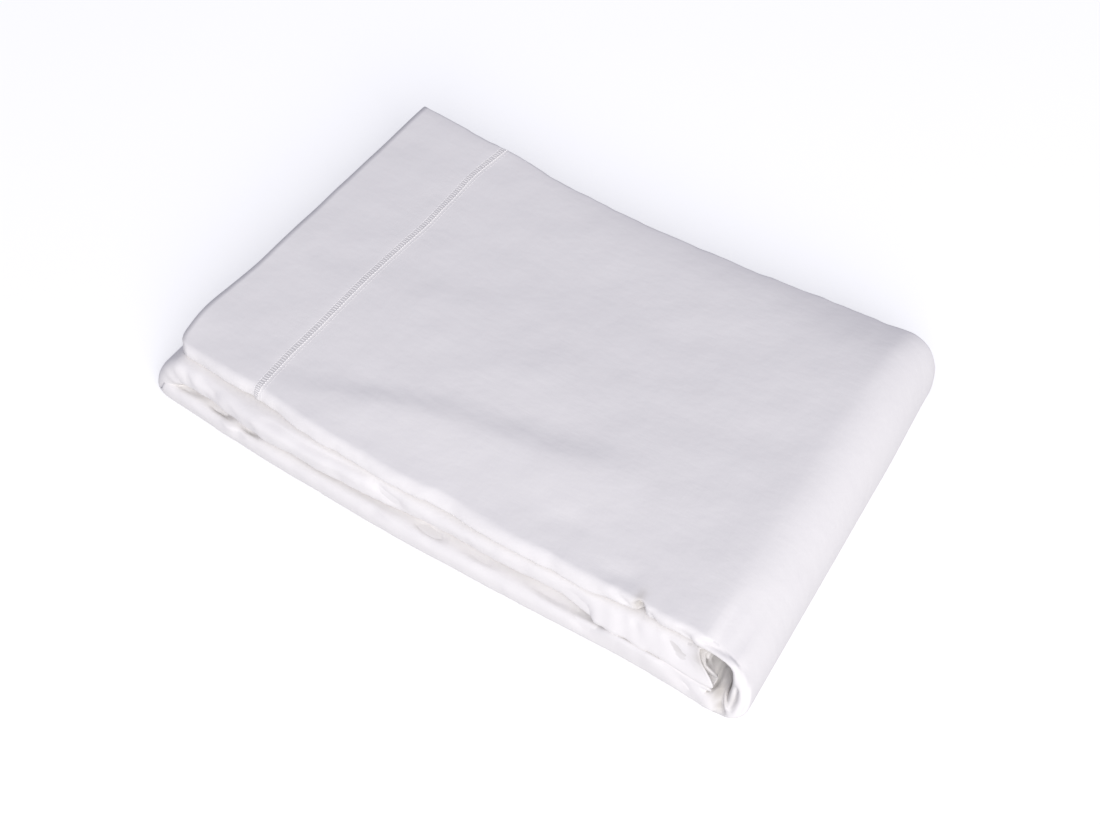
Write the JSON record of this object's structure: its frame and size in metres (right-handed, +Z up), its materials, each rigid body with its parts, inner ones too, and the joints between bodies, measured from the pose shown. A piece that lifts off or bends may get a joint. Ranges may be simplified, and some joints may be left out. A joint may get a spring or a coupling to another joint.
{
  "type": "folded flat sheet",
  "caption": "Plain white cotton flat sheet for a single bed, folded into a flat rectangular pack, with a hemstitched hem lying across the top at one end and soft rolled folds along one side.",
  "frame": {"origin": "on the underside of the pack, near the middle of its footprint, in the plane it rests on", "axes": "+X along the pack's long side, from the hemmed end to the big end fold; -Y towards the rolled folds of the near side; +Z up"},
  "size_m": [0.4735, 0.31, 0.0569],
  "materials": {
    "cotton": "matt plain-woven white cotton"
  },
  "bodies": {
    "root": {"sheet": "cotton"}
  },
  "joints": []
}
